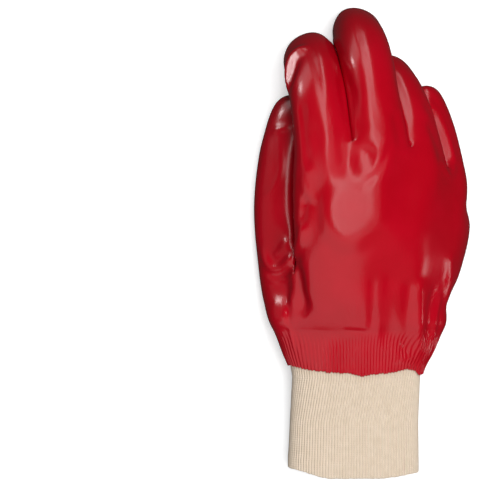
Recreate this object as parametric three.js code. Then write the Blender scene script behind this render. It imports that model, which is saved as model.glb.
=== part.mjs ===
// A coated work glove for the right hand, lying palm down on a flat surface.
// Two pieces: the dipped hand, a hollow shell of four fingers and a thumb, and the rib-knit wrist inside its band.
// Millimetres. x runs across the hand, away from the thumb; y runs from the wrist to the fingertips; z is up.
// Until the last lines, y is 0 at the seam between hand and wrist, and z is 0 at the surface below.
import * as THREE from 'three';

// Driving dimensions, in millimetres
const coatWall = 1.8; // the coat and its cotton backing together
const hemWall = 1.2; // the coat where it thins out over the knit
const seatGap = 0.6; // between the knit and the coat around it
const coatOverlap = 23; // from the seam down to the coat's edge
const edgeRise = { thumb: 5.5, little: 1 }; // how much higher the coat's edge sits at the two sides
const cuffLength = 54.8; // knit that shows below the coat's edge
const endRise = { thumb: 4.5, little: 2 }; // how much higher the knit's open end sits at the two sides
const wristWidth = 71;
const wristDepth = 29;
const knitWall = 1.6;
const knitPress = 1.2; // how far the resting tube is pressed flat
const restShare = 0.4; // of the visible knit, from its open end, lies on the surface
const ribDepth = 0.45;
const ribCount = 72;
const seamWidth = 84; // the knit's width where it is sewn to the hand
const heelWidth = 110; // across the heel of the hand and the root of the thumb
const heelDepth = 44;
const thumbCrotch = 32; // from the seam to the thumb's crotch
const palmLength = 104; // from the seam to the root of the middle finger
const palmWidth = 108; // measured round the cupped back
const palmDepth = 32;
const knuckleRise = 42; // height of the palm's mid-line at the knuckles
const digitGap = 0.9; // between digits that press against each other
const webDip = 3; // how far the middle of a web lies below the fingers' roots

// Each digit: across is its root's place on the palm's mid-line, from the middle, as a share of palmWidth.
// ahead is how far its root lies past palmLength, as a share of palmLength.
// length runs from the root to the centre of the rounded tip. lean turns the first and the last bone in plan,
// negative towards the thumb; drop is the slope of each bone, negative downwards. Angles are in degrees.
const fingers = [
  { name: 'index', across: -0.36, ahead: -0.03, length: 63.6, width: 30.5, depth: 26,
    lean: [-5, -12], drop: [-2, -38, -60] },
  { name: 'middle', across: -0.086, ahead: 0, length: 78.4, width: 28.5, depth: 26,
    lean: [-7, -11], drop: [-3, -34, -62] },
  { name: 'ring', across: 0.169, ahead: -0.1, length: 58, width: 24.5, depth: 24,
    lean: [-13, -25], drop: [-6, -30, -48] },
  { name: 'little', across: 0.388, ahead: -0.2, length: 44.2, width: 21.5, depth: 21.5,
    lean: [-10, -21], drop: [-2, -4, -10] },
];
const thumb = { name: 'thumb', length: 86, width: 28.5, depth: 24, lean: [-5, 14], drop: [-1, -1, -1] };
const boneShares = [0.42, 0.33, 0.25]; // the bones of every digit, as shares of its length

// Digit sections from root to tip: width and depth as shares of the digit's own.
const digitSections = [
  { at: 0, width: 1, depth: 1.04 },
  { at: 0.3, width: 1, depth: 0.98 },
  { at: 0.62, width: 1, depth: 0.98 },
  { at: 1, width: 0.97, depth: 0.96 },
];

// Sections of the wrist tube that shows, from its open end at -1 to the coat's edge at 0, as shares of cuffLength.
// x is the centre as a share of wristWidth; width and depth are shares of wristWidth and wristDepth.
const knitSections = [
  { at: -1, x: -0.0255, width: 1.025, depth: 1.08 },
  { at: -0.9, x: -0.0255, width: 1.01, depth: 1.06 },
  { at: -0.45, x: -0.021, width: 0.995, depth: 1.01 },
  { at: 0, x: -0.007, width: 0.988, depth: 1 },
];

// Sections of the heel, from the seam at 0 to the thumb's crotch at 1.
// width and depth are shares of heelWidth and heelDepth, x of heelWidth, and mid is the mid-line's height
// as a share of heelDepth. roll and cup are in degrees: roll tilts the section, cup bends it round the palm.
const heelSections = [
  { at: 0.06, x: 0.005, width: 0.843, depth: 0.82, mid: 0.41, roll: 0, cup: 0 },
  { at: 0.2, x: 0.003, width: 0.886, depth: 0.9, mid: 0.44, roll: -1, cup: 3 },
  { at: 0.55, x: -0.019, width: 0.904, depth: 1, mid: 0.5, roll: -4, cup: 14 },
  { at: 1, x: 0.002, width: 0.994, depth: 1.04, mid: 0.54, roll: -10, cup: 28 },
];

// Sections of the palm, from the thumb's crotch at 0 to the knuckles at 1.
// width and depth are shares of palmWidth and palmDepth, x of palmWidth, mid of knuckleRise.
const palmSections = [
  { at: 0, x: 0.104, width: 0.898, depth: 1.1, mid: 0.7, roll: -17, cup: 38 },
  { at: 0.35, x: 0.155, width: 0.98, depth: 1.05, mid: 0.82, roll: -20, cup: 60 },
  { at: 0.7, x: 0.167, width: 1.005, depth: 0.98, mid: 0.92, roll: -21, cup: 82 },
  { at: 1, x: 0.168, width: 1, depth: 0.9, mid: 1, roll: -22, cup: 94 },
];

// The thumb's root as shares of heelWidth, thumbCrotch and heelDepth, its depth there as a share of its own,
// and how far its back is turned away from the hand, in degrees.
const thumbRoot = { x: -0.36, y: 1, z: 0.29, depth: 1.06, turn: 32 };

// Broad ridges and valleys of the coat, each laid along a line on the back or on the palm side.
// x and y are shares of palmWidth and palmLength from the middle of the seam; wide and high are shares of
// foldWidth and foldHeight, and a negative high is a valley.
const foldWidth = 8;
const foldHeight = 2;
const folds = [
  { side: 'back', x: [-0.37, -0.35], y: [0.44, 0.8], wide: 0.7, high: 0.5 }, // the hand's edge over the thumb
  { side: 'back', x: [-0.33, -0.3], y: [0.04, 0.3], wide: 0.5, high: -0.8 }, // crease beside the thumb's root
  { side: 'back', x: [-0.52, -0.36], y: [0.24, 0.22], wide: 0.5, high: -0.6 }, // crease across the thumb's root
  { side: 'back', x: [-0.01, -0.06], y: [0.9, 0.72], wide: 0.8, high: -0.9 }, // valley behind the first web
  { side: 'back', x: [-0.18, -0.06], y: [0.86, 0.6], wide: 0.9, high: 0.5 }, // tendon to the index finger
  { side: 'back', x: [0.24, 0.2], y: [0.8, 0.64], wide: 0.7, high: -0.8 }, // valley behind the second web
  { side: 'back', x: [0.08, 0.08], y: [0.9, 0.6], wide: 0.9, high: 0.5 }, // tendon to the middle finger
  { side: 'back', x: [0.47, 0.44], y: [0.66, 0.5], wide: 0.7, high: -0.7 }, // valley behind the third web
  { side: 'back', x: [0.15, 0.14], y: [0.02, 0.34], wide: 0.7, high: -0.7 }, // gathers above the seam
  { side: 'back', x: [0.27, 0.3], y: [0.02, 0.36], wide: 0.6, high: 0.6 },
  { side: 'back', x: [0.38, 0.42], y: [0.02, 0.3], wide: 0.6, high: -0.7 },
  { side: 'palm', x: [-0.3, 0.1], y: [0.46, 0.66], wide: 0.8, high: -0.9 }, // creases of the palm
  { side: 'palm', x: [-0.02, 0.34], y: [0.3, 0.56], wide: 0.8, high: -0.8 },
  { side: 'palm', x: [-0.2, -0.06], y: [0.1, 0.4], wide: 0.8, high: -0.7 },
];

// Ring sizes. A flank, a back and a palm side of a digit have sideSteps edges each.
const sideSteps = 4;
const digitSteps = 4 * sideSteps;
const palmSteps = 2 * sideSteps * (fingers.length + 1);
const wristSteps = palmSteps - sideSteps + 3 * sideSteps;

const radians = THREE.MathUtils.degToRad;
const smooth = (share) => THREE.MathUtils.smoothstep(share, 0, 1);

// One row of a table at any station between its rows.
function rowAt(rows, at) {
  const columns = Object.keys(rows[0]).filter((column) => column !== 'at');
  const stations = rows.map((row) => row.at);
  const values = rows.flatMap((row) => columns.map((column) => row[column]));
  const spline = new THREE.CubicInterpolant(stations, values, columns.length, new Float64Array(columns.length));
  const found = spline.evaluate(at);
  return Object.fromEntries(columns.map((column, i) => [column, found[i]]));
}

// A closed oval across the hand. It starts at the thumb side, passes over the back and returns under the palm.
// Its mid-line is an arc that bends through cup, so that the palm is hollow.
class Oval extends THREE.Curve {
  constructor({ centre, across, up, width, depth, cup = 0, square = 2.3 }) {
    super();
    Object.assign(this, { centre, across, up, width, depth, square });
    this.curvature = Math.max(radians(cup), 1e-6) / width;
  }

  // A point at a distance from the middle of the mid-line, and a height above the line.
  at(distance, height) {
    const turn = distance * this.curvature;
    const reach = 1 / this.curvature + height;
    return this.centre.clone()
      .addScaledVector(this.across, Math.sin(turn) * reach)
      .addScaledVector(this.up, Math.cos(turn) * reach - 1 / this.curvature);
  }

  // The direction that points out of the back at that distance.
  normalAt(distance) {
    const turn = distance * this.curvature;
    return this.across.clone().multiplyScalar(Math.sin(turn)).addScaledVector(this.up, Math.cos(turn));
  }

  getPoint(t, target = new THREE.Vector3()) {
    const turn = Math.PI * (1 - 2 * t);
    const rounded = (v) => Math.sign(v) * Math.abs(v) ** (2 / this.square);
    return target.copy(this.at(
      this.width / 2 * rounded(Math.cos(turn)),
      this.depth / 2 * rounded(Math.sin(turn)),
    ));
  }
}

// An oval square to y, tilted by roll.
function ovalAcross({ x, y, mid, width, depth, roll = 0, cup = 0, square }) {
  const tilt = radians(roll);
  return new Oval({
    centre: new THREE.Vector3(x, y, mid),
    across: new THREE.Vector3(Math.cos(tilt), 0, Math.sin(tilt)),
    up: new THREE.Vector3(-Math.sin(tilt), 0, Math.cos(tilt)),
    width, depth, cup, square,
  });
}

// The knit's outside at a height y: its own rows below the coat's edge, and widening to the seam inside the band.
function knitOval(y, outset = 0) {
  const below = rowAt(knitSections, Math.min(0, (y + coatOverlap) / cuffLength));
  const above = smooth(Math.max(0, 1 + y / coatOverlap));
  const width = THREE.MathUtils.lerp(below.width * wristWidth, seamWidth, above) + 2 * outset;
  const depth = THREE.MathUtils.lerp(below.depth * wristDepth, wristDepth, above);
  const x = THREE.MathUtils.lerp(below.x * wristWidth, heelSections[0].x * heelWidth, above);
  const raised = (1 + (y + coatOverlap) / cuffLength - restShare) / (1 - restShare);
  const lift = (coatWall + seatGap + knitPress) * smooth(raised);
  return ovalAcross({ x, y, mid: depth / 2 - knitPress + lift, width, depth: depth + 2 * outset, square: 2.5 });
}

// The hand's outside at a height y between the coat's edge and the thumb's crotch.
function heelOval(y) {
  const row = rowAt(heelSections, Math.max(heelSections[0].at, y / thumbCrotch));
  const body = {
    x: row.x * heelWidth, mid: row.mid * heelDepth, width: row.width * heelWidth,
    depth: row.depth * heelDepth, roll: row.roll, cup: row.cup,
  };
  return ovalAcross({ ...body, y });
}

// The hand's outside between the thumb's crotch at 0 and the knuckles at 1.
function palmOval(at) {
  const row = rowAt(palmSections, at);
  return ovalAcross({
    x: row.x * palmWidth,
    y: THREE.MathUtils.lerp(thumbCrotch, palmLength * 0.97, at),
    mid: row.mid * knuckleRise,
    width: row.width * palmWidth,
    depth: row.depth * palmDepth,
    roll: row.roll,
    cup: row.cup,
  });
}

// A digit's bones, laid end to end from its root and smoothed into one curve.
function digitPath(root, { length, lean, drop }) {
  const joints = [root];
  boneShares.forEach((share, i) => {
    const turn = radians(THREE.MathUtils.lerp(lean[0], lean[1], i / (boneShares.length - 1)));
    const slope = radians(drop[i]);
    const bone = new THREE.Vector3(
      Math.sin(turn) * Math.cos(slope), Math.cos(turn) * Math.cos(slope), Math.sin(slope),
    );
    joints.push(joints[i].clone().addScaledVector(bone, share * length));
  });
  return new THREE.CatmullRomCurve3(joints, false, 'centripetal');
}

// A digit: its root ring, a function that gives any ring up to the tip, and the points of its rounded end.
function digit(root, back, size, rootDepth = 1) {
  const path = digitPath(root, size);
  const ovalAt = (share) => {
    const row = rowAt(digitSections, share);
    const ahead = path.getTangentAt(share);
    const up = back.clone().addScaledVector(ahead, -back.dot(ahead)).normalize();
    const swell = THREE.MathUtils.lerp(rootDepth, 1, smooth(share / 0.35));
    return new Oval({
      centre: path.getPointAt(share), across: ahead.clone().cross(up), up,
      width: size.width * row.width, depth: size.depth * row.depth * swell, square: 2.2,
    });
  };
  const ringAt = (share) => {
    const oval = ovalAt(share);
    return Array.from({ length: digitSteps }, (_, k) => oval.getPoint(k / digitSteps));
  };
  // Points on the rounded end: polar is 90 degrees where the end begins and 0 at its very tip.
  const last = ovalAt(1);
  const ahead = path.getTangentAt(1);
  const tipPoint = (t, polar) => {
    const rim = last.getPoint(t).sub(last.centre);
    return last.centre.clone()
      .addScaledVector(rim, Math.sin(radians(polar)) ** 0.92)
      .addScaledVector(ahead, size.width / 2 * Math.cos(radians(polar)) ** 0.92);
  };
  return { ...size, ringAt, tipPoint, ahead: path.getTangentAt(0), path, placed: [] };
}

// The outside of the coat as points and four-cornered faces.
const points = [];
const faces = [];
const addPoint = (point) => points.push(point) - 1;
const addRing = (ring) => ring.map(addPoint);

function joinRings(lower, upper) {
  lower.forEach((_, j) => {
    const next = (j + 1) % lower.length;
    faces.push([lower[j], lower[next], upper[next], upper[j]]);
  });
}

// Closes a digit's last ring with a grid of sideSteps by sideSteps faces.
function closeTip(ring, tipPoint, edgePolar) {
  const half = sideSteps / 2;
  const firstInside = points.length;
  const onRing = (p, q) => {
    if (q === half) return p + sideSteps;
    if (p === half) return 2 * sideSteps - q;
    if (q === -half) return 3 * sideSteps - p;
    return (digitSteps + q) % digitSteps;
  };
  const inside = (p, q) => {
    const reach = Math.max(Math.abs(p), Math.abs(q)) / half;
    const turn = 0.5 - Math.atan2(q, p) / (2 * Math.PI);
    return addPoint(tipPoint(turn, edgePolar * reach));
  };
  const grid = [];
  for (let q = -half; q <= half; q++) {
    const row = [];
    for (let p = -half; p <= half; p++) {
      const edge = Math.max(Math.abs(p), Math.abs(q)) === half;
      row.push(edge ? ring[onRing(p, q)] : inside(p, q));
    }
    grid.push(row);
  }
  for (let q = 0; q < sideSteps; q++) {
    for (let p = 0; p < sideSteps; p++) {
      faces.push([grid[q][p], grid[q + 1][p], grid[q + 1][p + 1], grid[q][p + 1]]);
    }
  }
  return points.slice(firstInside).map((_, i) => firstInside + i);
}

// Builds a digit up from the loop of points that it shares with the palm and its neighbours.
function growDigit(loop, made) {
  const rings = Math.round(made.length / 6.3);
  const root = made.ringAt(0);
  const shift = root.map((point, k) => points[loop[k]].clone().sub(point));
  let lower = loop;
  for (let i = 1; i <= rings; i++) {
    const fade = 1 - smooth(i / rings / 0.42);
    const ring = made.ringAt(i / rings).map((point, k) => point.addScaledVector(shift[k], fade));
    const upper = addRing(ring);
    joinRings(lower, upper);
    made.placed.push(...upper);
    lower = upper;
  }
  for (const polar of [62, 38]) {
    const upper = addRing(lower.map((_, k) => made.tipPoint(k / digitSteps, polar)));
    joinRings(lower, upper);
    made.placed.push(...upper);
    lower = upper;
  }
  made.placed.push(...closeTip(lower, made.tipPoint, 38));
}

// Two digits that would cross press each other flat: a point that lies nearer to the other digit's middle than
// to its own, both measured against their widths, is drawn back towards its own.
function pressBack(one, other) {
  const [mine, theirs] = [one, other].map((made) => made.path.getSpacedPoints(80));
  const nearest = (way, point) => way.reduce((best, p) => (
    p.distanceToSquared(point) < best.distanceToSquared(point) ? p : best));
  const spare = digitGap / 2 * (1 / one.width + 1 / other.width);
  for (const index of one.placed) {
    const point = points[index];
    const own = nearest(mine, point);
    const clear = (at) => at.distanceTo(own) / one.width + spare <= nearest(theirs, at).distanceTo(at) / other.width;
    const whole = point.clone();
    let [low, high] = clear(whole) ? [1, 1] : [0, 1];
    while (high - low > 0.01) {
      const mid = (low + high) / 2;
      if (clear(own.clone().lerp(whole, mid))) low = mid;
      else high = mid;
    }
    point.copy(own).lerp(whole, low);
  }
}

// The middle points of the web between two rings that stand side by side.
function addWeb(left, right, ahead) {
  const pairs = [[7, 1], [8, 0], [9, right.length - 1]];
  return pairs.map(([k, m], i) => {
    const dip = webDip * (i === 1 ? 1 : 0.7);
    return addPoint(left[k].clone().lerp(right[m], 0.5).addScaledVector(ahead, -dip));
  });
}

// The shares of a ring's own way round at which its points lie, thumb side first and little side half way.
function waysRound(ring) {
  const half = ring.length / 2;
  const steps = ring.map((point, j) => point.distanceTo(ring[(j + 1) % ring.length]));
  const sum = (list) => list.reduce((total, step) => total + step, 0);
  const [over, under] = [sum(steps.slice(0, half)), sum(steps.slice(half))];
  return ring.map((_, j) => (j <= half
    ? 0.5 * sum(steps.slice(0, j)) / over
    : 0.5 + 0.5 * sum(steps.slice(half, j)) / under));
}

// The knuckles: each finger's root stands on the palm's mid-line, and neighbours share a corner.
const knuckles = palmOval(1);
const fingerRoots = fingers.map((finger) => {
  const distance = finger.across * palmWidth;
  const root = knuckles.at(distance, 0);
  root.y = palmLength * (1 + finger.ahead);
  return digit(root, knuckles.normalAt(distance), finger);
});
const rootRings = fingerRoots.map((made) => made.ringAt(0));
const knuckleRing = [];
rootRings.forEach((ring, f) => {
  const back = 2 + f * sideSteps;
  const under = palmSteps - 2 - (f + 1) * sideSteps;
  for (let k = 0; k <= sideSteps; k++) {
    for (const [j, point] of [[back + k, ring[2 + k]], [under + k, ring[10 + k]]]) {
      knuckleRing[j] = knuckleRing[j] ? knuckleRing[j].clone().lerp(point, 0.5) : point.clone();
    }
  }
});
const firstRoot = rootRings[0];
const lastRoot = rootRings[rootRings.length - 1];
const middle = palmSteps / 2;
[[0, 0], [1, 1], [palmSteps - 1, digitSteps - 1]].forEach(([j, k]) => { knuckleRing[j] = firstRoot[k]; });
[[-1, 7], [0, 8], [1, 9]].forEach(([j, k]) => { knuckleRing[middle + j] = lastRoot[k]; });

// The palm between crotch and knuckles. Its ovals take the knuckles' scallops as they rise.
const palmWays = waysRound(knuckleRing);
const palmOvalRing = (at) => palmWays.map((way) => palmOval(at).getPointAt(way));
const palmTop = palmOvalRing(1);
const palmBase = palmOvalRing(0);

// The thumb's crotch: the thumb and the palm stand side by side on the heel and share two corners.
const thumbMade = digit(
  new THREE.Vector3(thumbRoot.x * heelWidth, thumbRoot.y * thumbCrotch, thumbRoot.z * heelDepth),
  new THREE.Vector3(-Math.sin(radians(thumbRoot.turn)), 0, Math.cos(radians(thumbRoot.turn))),
  thumb, thumbRoot.depth,
);
const thumbRing = thumbMade.ringAt(0);
const crotchRing = [
  ...thumbRing.slice(0, 6),
  thumbRing[6].clone().lerp(palmBase[2], 0.5),
  ...palmBase.slice(3, palmSteps - 2),
  thumbRing[10].clone().lerp(palmBase[palmSteps - 2], 0.5),
  ...thumbRing.slice(11),
];

// The heel, from the coat's edge up to the crotch.
const heelWays = waysRound(crotchRing);
const heelRing = (y) => heelWays.map((way) => heelOval(y).getPointAt(way));
const bandPoint = (y, way) => {
  const thin = THREE.MathUtils.lerp(hemWall, coatWall, smooth(1 + y / coatOverlap));
  return knitOval(y, seatGap + thin).getPointAt(way);
};
const crotchShift = heelRing(thumbCrotch).map((point, j) => crotchRing[j].clone().sub(point));

const bandStations = [-1, -0.72, -0.42, -0.14];
const heelStations = [0.06, 0.18, 0.34, 0.5, 0.66, 0.82];
const bandRings = bandStations.map((at) => heelWays.map((way) => {
  const side = Math.cos(2 * Math.PI * way);
  const rise = side > 0 ? edgeRise.thumb * side ** 2 : edgeRise.little * side ** 2;
  return bandPoint(at * coatOverlap + (at === -1 ? rise : 0), way);
}));
const heelRings = heelStations.map((at) => heelRing(at * thumbCrotch).map(
  (point, j) => point.addScaledVector(crotchShift[j], smooth((at - 0.1) / 0.9)),
));
const wristRings = [...bandRings, ...heelRings, crotchRing].map(addRing);
wristRings.slice(1).forEach((ring, i) => joinRings(wristRings[i], ring));

const crotch = wristRings[wristRings.length - 1];
const thumbWeb = addWeb(thumbRing, palmBase, new THREE.Vector3(0, 1, 0));
const thumbLoop = [...crotch.slice(0, 7), ...thumbWeb, ...crotch.slice(wristSteps - 6)];
const palmLoop = [thumbWeb[1], thumbWeb[0], ...crotch.slice(6, wristSteps - 5), thumbWeb[2]];
growDigit(thumbLoop, thumbMade);

const palmRings = 9;
const rootShift = palmBase.map((point, j) => points[palmLoop[j]].clone().sub(point));
const topShift = palmTop.map((point, j) => knuckleRing[j].clone().sub(point));
let palmLower = palmLoop;
for (let i = 1; i <= palmRings; i++) {
  const at = i / palmRings;
  const ring = palmOvalRing(at).map((point, j) => point
    .addScaledVector(rootShift[j], 1 - smooth(at / 0.5))
    .addScaledVector(topShift[j], smooth((at - 0.4) / 0.6)));
  const upper = addRing(ring);
  joinRings(palmLower, upper);
  palmLower = upper;
}

// The fingers, each on its loop of the last palm ring and the webs beside it.
const webs = rootRings.slice(1).map((ring, f) => {
  const ahead = fingerRoots[f].ahead.clone().add(fingerRoots[f + 1].ahead).normalize();
  return addWeb(rootRings[f], ring, ahead);
});
fingerRoots.forEach((made, f) => {
  const back = 2 + f * sideSteps;
  const under = palmSteps - 2 - (f + 1) * sideSteps;
  const left = webs[f - 1] ?? [palmLower[1], palmLower[0], palmLower[palmSteps - 1]];
  const right = webs[f] ?? [palmLower[middle - 1], palmLower[middle], palmLower[middle + 1]];
  growDigit([
    left[1], left[0],
    ...palmLower.slice(back, back + sideSteps + 1),
    ...right,
    ...palmLower.slice(under, under + sideSteps + 1),
    left[2],
  ], made);
});

// The outward direction at every point, from the faces around it.
function pointNormals(corners, quads) {
  const normals = corners.map(() => new THREE.Vector3());
  for (const quad of quads) {
    const [a, b, c, d] = quad.map((i) => corners[i]);
    const normal = c.clone().sub(a).cross(d.clone().sub(b));
    quad.forEach((i) => normals[i].add(normal));
  }
  return normals.map((normal) => normal.normalize());
}

for (let pass = 0; pass < 2; pass++) {
  fingerRoots.slice(1).forEach((made, f) => {
    pressBack(fingerRoots[f], made);
    pressBack(made, fingerRoots[f]);
  });
}

// How far the folds move a point of the coat in or out. Each fades over its width beside and past its line.
function foldAt(point, normal) {
  return folds.reduce((sum, fold) => {
    const facing = smooth(fold.side === 'back' ? normal.z * 2 : -normal.z * 2);
    const start = new THREE.Vector3(fold.x[0] * palmWidth, fold.y[0] * palmLength, 0);
    const end = new THREE.Vector3(fold.x[1] * palmWidth, fold.y[1] * palmLength, 0);
    const flat = point.clone().setZ(0);
    const near = new THREE.Line3(start, end).closestPointToPoint(flat, true, new THREE.Vector3());
    const away = near.distanceTo(flat) / (fold.wide * foldWidth);
    return sum + facing * fold.high * foldHeight * Math.exp(-(away ** 2));
  }, 0);
}

pointNormals(points, faces).forEach((normal, i) => {
  points[i].addScaledVector(normal, foldAt(points[i], normal));
});

// What rests on the surface is pressed flat against it.
points.forEach((point) => { point.z = Math.max(point.z, 0); });

// A closed shell from an outside, its inside and the band between their open rims.
function shellGeometry(outer, inner, quads, rim) {
  const offset = outer.length;
  const closed = [
    ...quads,
    ...quads.map((quad) => quad.map((i) => i + offset).reverse()),
    ...rim.map((a, j) => {
      const b = rim[(j + 1) % rim.length];
      return [a, a + offset, b + offset, b];
    }),
  ];
  const corners = [...outer, ...inner];
  const triangles = closed.flatMap(([a, b, c, d]) => (
    corners[a].distanceTo(corners[c]) <= corners[b].distanceTo(corners[d])
      ? [a, b, c, a, c, d]
      : [a, b, d, b, c, d]));
  const geometry = new THREE.BufferGeometry().setFromPoints(corners).setIndex(triangles);
  geometry.computeVertexNormals();
  return geometry;
}

function coatGeometry() {
  const normals = pointNormals(points, faces);
  const inside = points.map((point, i) => {
    const thin = smooth(1 + point.y / coatOverlap);
    return point.clone().addScaledVector(normals[i], -THREE.MathUtils.lerp(hemWall, coatWall, thin));
  });
  return shellGeometry(points, inside, faces, wristRings[0]);
}

// How far a point of the knit is raised, because the corners of the open end are rounded.
function openEndRise({ centre, width }, point) {
  const aside = (point.x - centre.x) / (width / 2);
  const nearEnd = 1 - (centre.y + coatOverlap + cuffLength) / (0.5 * cuffLength);
  const rise = aside < 0 ? endRise.thumb : endRise.little;
  return rise * smooth((Math.abs(aside) - 0.35) / 0.65) * smooth(nearEnd);
}

// The knit tube. Every second point lies in a groove, and the inside follows the outside at knitWall.
function knitGeometry() {
  const bottom = -coatOverlap - cuffLength;
  const below = [0, 0.1, 0.55].map((at) => bottom + at * cuffLength);
  const stations = [...below, ...bandStations.map((at) => at * coatOverlap)];
  const steps = 2 * ribCount;
  const ringAt = (y, inset) => {
    const oval = knitOval(y, -inset);
    const groove = knitOval(y, -inset - ribDepth);
    const ring = Array.from({ length: steps }, (_, j) => (j % 2 ? groove : oval).getPointAt(j / steps));
    ring.forEach((point) => { point.y += openEndRise(oval, point); });
    return ring;
  };
  const outer = stations.flatMap((y) => ringAt(y, 0));
  const inner = stations.flatMap((y) => ringAt(y, knitWall));
  outer.forEach((point) => { point.z = Math.max(point.z, 0); });
  inner.forEach((point) => { point.z = Math.max(point.z, knitWall); });
  const quads = [];
  for (let i = 0; i + 1 < stations.length; i++) {
    for (let j = 0; j < steps; j++) {
      const next = (j + 1) % steps;
      const [low, high] = [i * steps, (i + 1) * steps];
      quads.push([low + j, low + next, high + next, high + j]);
    }
  }
  // The rim at the top runs the other way round, because the tube is open there too.
  const first = Array.from({ length: steps }, (_, j) => j);
  const last = first.map((j) => (stations.length - 1) * steps + j).reverse();
  return tubeGeometry(outer, inner, quads, [first, last]);
}

function tubeGeometry(outer, inner, quads, rims) {
  const offset = outer.length;
  const bands = rims.flatMap((rim) => rim.map((a, j) => {
    const b = rim[(j + 1) % rim.length];
    return [a, a + offset, b + offset, b];
  }));
  const inside = quads.map((quad) => quad.map((i) => i + offset).reverse());
  const triangles = [...quads, ...inside, ...bands].flatMap(([a, b, c, d]) => [a, b, c, a, c, d]);
  const geometry = new THREE.BufferGeometry().setFromPoints([...outer, ...inner]).setIndex(triangles);
  geometry.computeVertexNormals();
  return geometry;
}

function piece(name, geometry, color, roughness) {
  const mesh = new THREE.Mesh(geometry, new THREE.MeshStandardMaterial({ color, roughness, metalness: 0 }));
  mesh.name = name;
  return mesh;
}

const glove = new THREE.Group();
glove.add(piece('coated_hand', coatGeometry(), 0xb0101c, 0.25));
glove.add(piece('knit_wrist', knitGeometry(), 0xdfcdb4, 0.95));

// The origin is the middle of the glove's box, on the surface below it.
const box = new THREE.Box3().setFromObject(glove);
const centre = box.getCenter(new THREE.Vector3());
glove.position.set(-centre.x, -centre.y, -box.min.z);

export default glove;
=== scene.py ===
# %% [markdown]
# # A coated work glove, made ready for its picture
# The glove is a cotton glove with a rib-knit wrist whose hand has been dipped in soft vinyl. The solids
# from the CAD model already hold its shape and its place. This lesson gives them the finer form and the
# finishes of the real thing: folds and gathers in the coat, ribs in the knit, and a glossy and a woolly
# material.

# %% The frame
import math

import bmesh
import bpy
import numpy as np
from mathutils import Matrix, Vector
from mathutils.bvhtree import BVHTree


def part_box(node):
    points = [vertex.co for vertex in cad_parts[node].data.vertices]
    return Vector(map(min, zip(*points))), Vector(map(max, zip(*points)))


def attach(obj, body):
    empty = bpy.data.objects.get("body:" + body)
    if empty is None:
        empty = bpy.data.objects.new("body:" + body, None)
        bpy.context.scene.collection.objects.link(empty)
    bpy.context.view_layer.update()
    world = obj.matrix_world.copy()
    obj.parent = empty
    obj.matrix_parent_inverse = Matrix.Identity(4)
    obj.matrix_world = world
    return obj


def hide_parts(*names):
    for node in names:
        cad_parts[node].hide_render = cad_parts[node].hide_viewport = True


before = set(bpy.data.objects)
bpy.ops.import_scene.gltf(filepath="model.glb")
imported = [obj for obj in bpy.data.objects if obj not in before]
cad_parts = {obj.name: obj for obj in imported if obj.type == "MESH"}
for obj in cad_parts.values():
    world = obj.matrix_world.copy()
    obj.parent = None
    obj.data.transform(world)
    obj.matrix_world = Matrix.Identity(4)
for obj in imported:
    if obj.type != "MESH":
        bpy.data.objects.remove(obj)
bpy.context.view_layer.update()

MM = 0.001
SEED = 7

# %% [markdown]
# ## Camera
# The photograph looks straight down on the glove from far away, and the glove lies to the right of its
# middle. A long lens keeps the sides of the fingers from spreading. Placing the camera over the middle of
# the photograph, instead of shifting the lens, shows the glove at the photograph's own angle. The same
# three numbers also turn a pixel of the photograph into a place on the glove, which is how the folds
# further on are laid out.

# %% Camera
PICTURE = 500
PIXEL = 0.545 * MM  # one pixel, at the height of the glove's middle
MIDDLE = (-61.9 * MM, -4.76 * MM, 25 * MM)
LENS = 120
SENSOR = 36

camera_data = bpy.data.cameras.new("camera")
camera_data.lens = LENS
camera_data.sensor_width = SENSOR
camera_data.clip_end = 10
camera = bpy.data.objects.new("camera", camera_data)
bpy.context.collection.objects.link(camera)
distance = PICTURE * PIXEL * LENS / SENSOR
camera.location = (MIDDLE[0], MIDDLE[1], MIDDLE[2] + distance)
bpy.context.scene.camera = camera


def on_glove(column, row, height):
    """The place in plan that shows at a pixel of the photograph, at a height."""
    nearer = (distance + MIDDLE[2] - height) / distance
    return (MIDDLE[0] + (column - PICTURE / 2) * PIXEL * nearer,
            MIDDLE[1] - (row - PICTURE / 2) * PIXEL * nearer)


print("camera", round(distance, 3), "m above the glove's middle")

# %% [markdown]
# ## Floor and light
# The glove lies on a wide white board, whose far edges are turned up so that no dark horizon shows. A
# board as pale as this would mirror itself in every rim of the vinyl and wash out its red, so it is kept
# out of the gloss and of the bounced light. Vinyl shows what it reflects, and the lamps are soft panels
# for that reason: the strip beyond the fingertips draws the long pale streaks on the fingers, the wide
# front panel gives the even sheen near the wrist, the small low ones give the white glints on the thumb
# side and along the edge of the hand, the broad one far to the left lays a soft sheen along the first
# finger, and the fill from above lights the colours without showing in the gloss. A picture of a studio
# wrapped round the scene would light it too, but each panel can be moved by itself until its streak falls
# where the photograph has it.

# %% Floor and light
def new_object(name, mesh):
    made = bpy.data.objects.new(name, mesh)
    bpy.context.collection.objects.link(made)
    return made


FLOOR_REACH = 12
FLOOR_RISE = 1.5
FLOOR_DROP = 0.3 * MM  # the rounded vinyl sags a little below the solids' flat foot
corners = [(-FLOOR_REACH, -FLOOR_REACH), (FLOOR_REACH, -FLOOR_REACH), (FLOOR_REACH, FLOOR_REACH),
           (-FLOOR_REACH, FLOOR_REACH)]
floor_mesh = bpy.data.meshes.new("floor")
floor_mesh.from_pydata([(*corner, height) for height in (0, FLOOR_RISE) for corner in corners], [],
                       [(0, 1, 2, 3)] + [(i, (i + 1) % 4, (i + 1) % 4 + 4, i + 4) for i in range(4)])
floor = new_object("floor", floor_mesh)
floor.location.z = -FLOOR_DROP
floor.visible_glossy = False
floor.visible_diffuse = False

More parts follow.
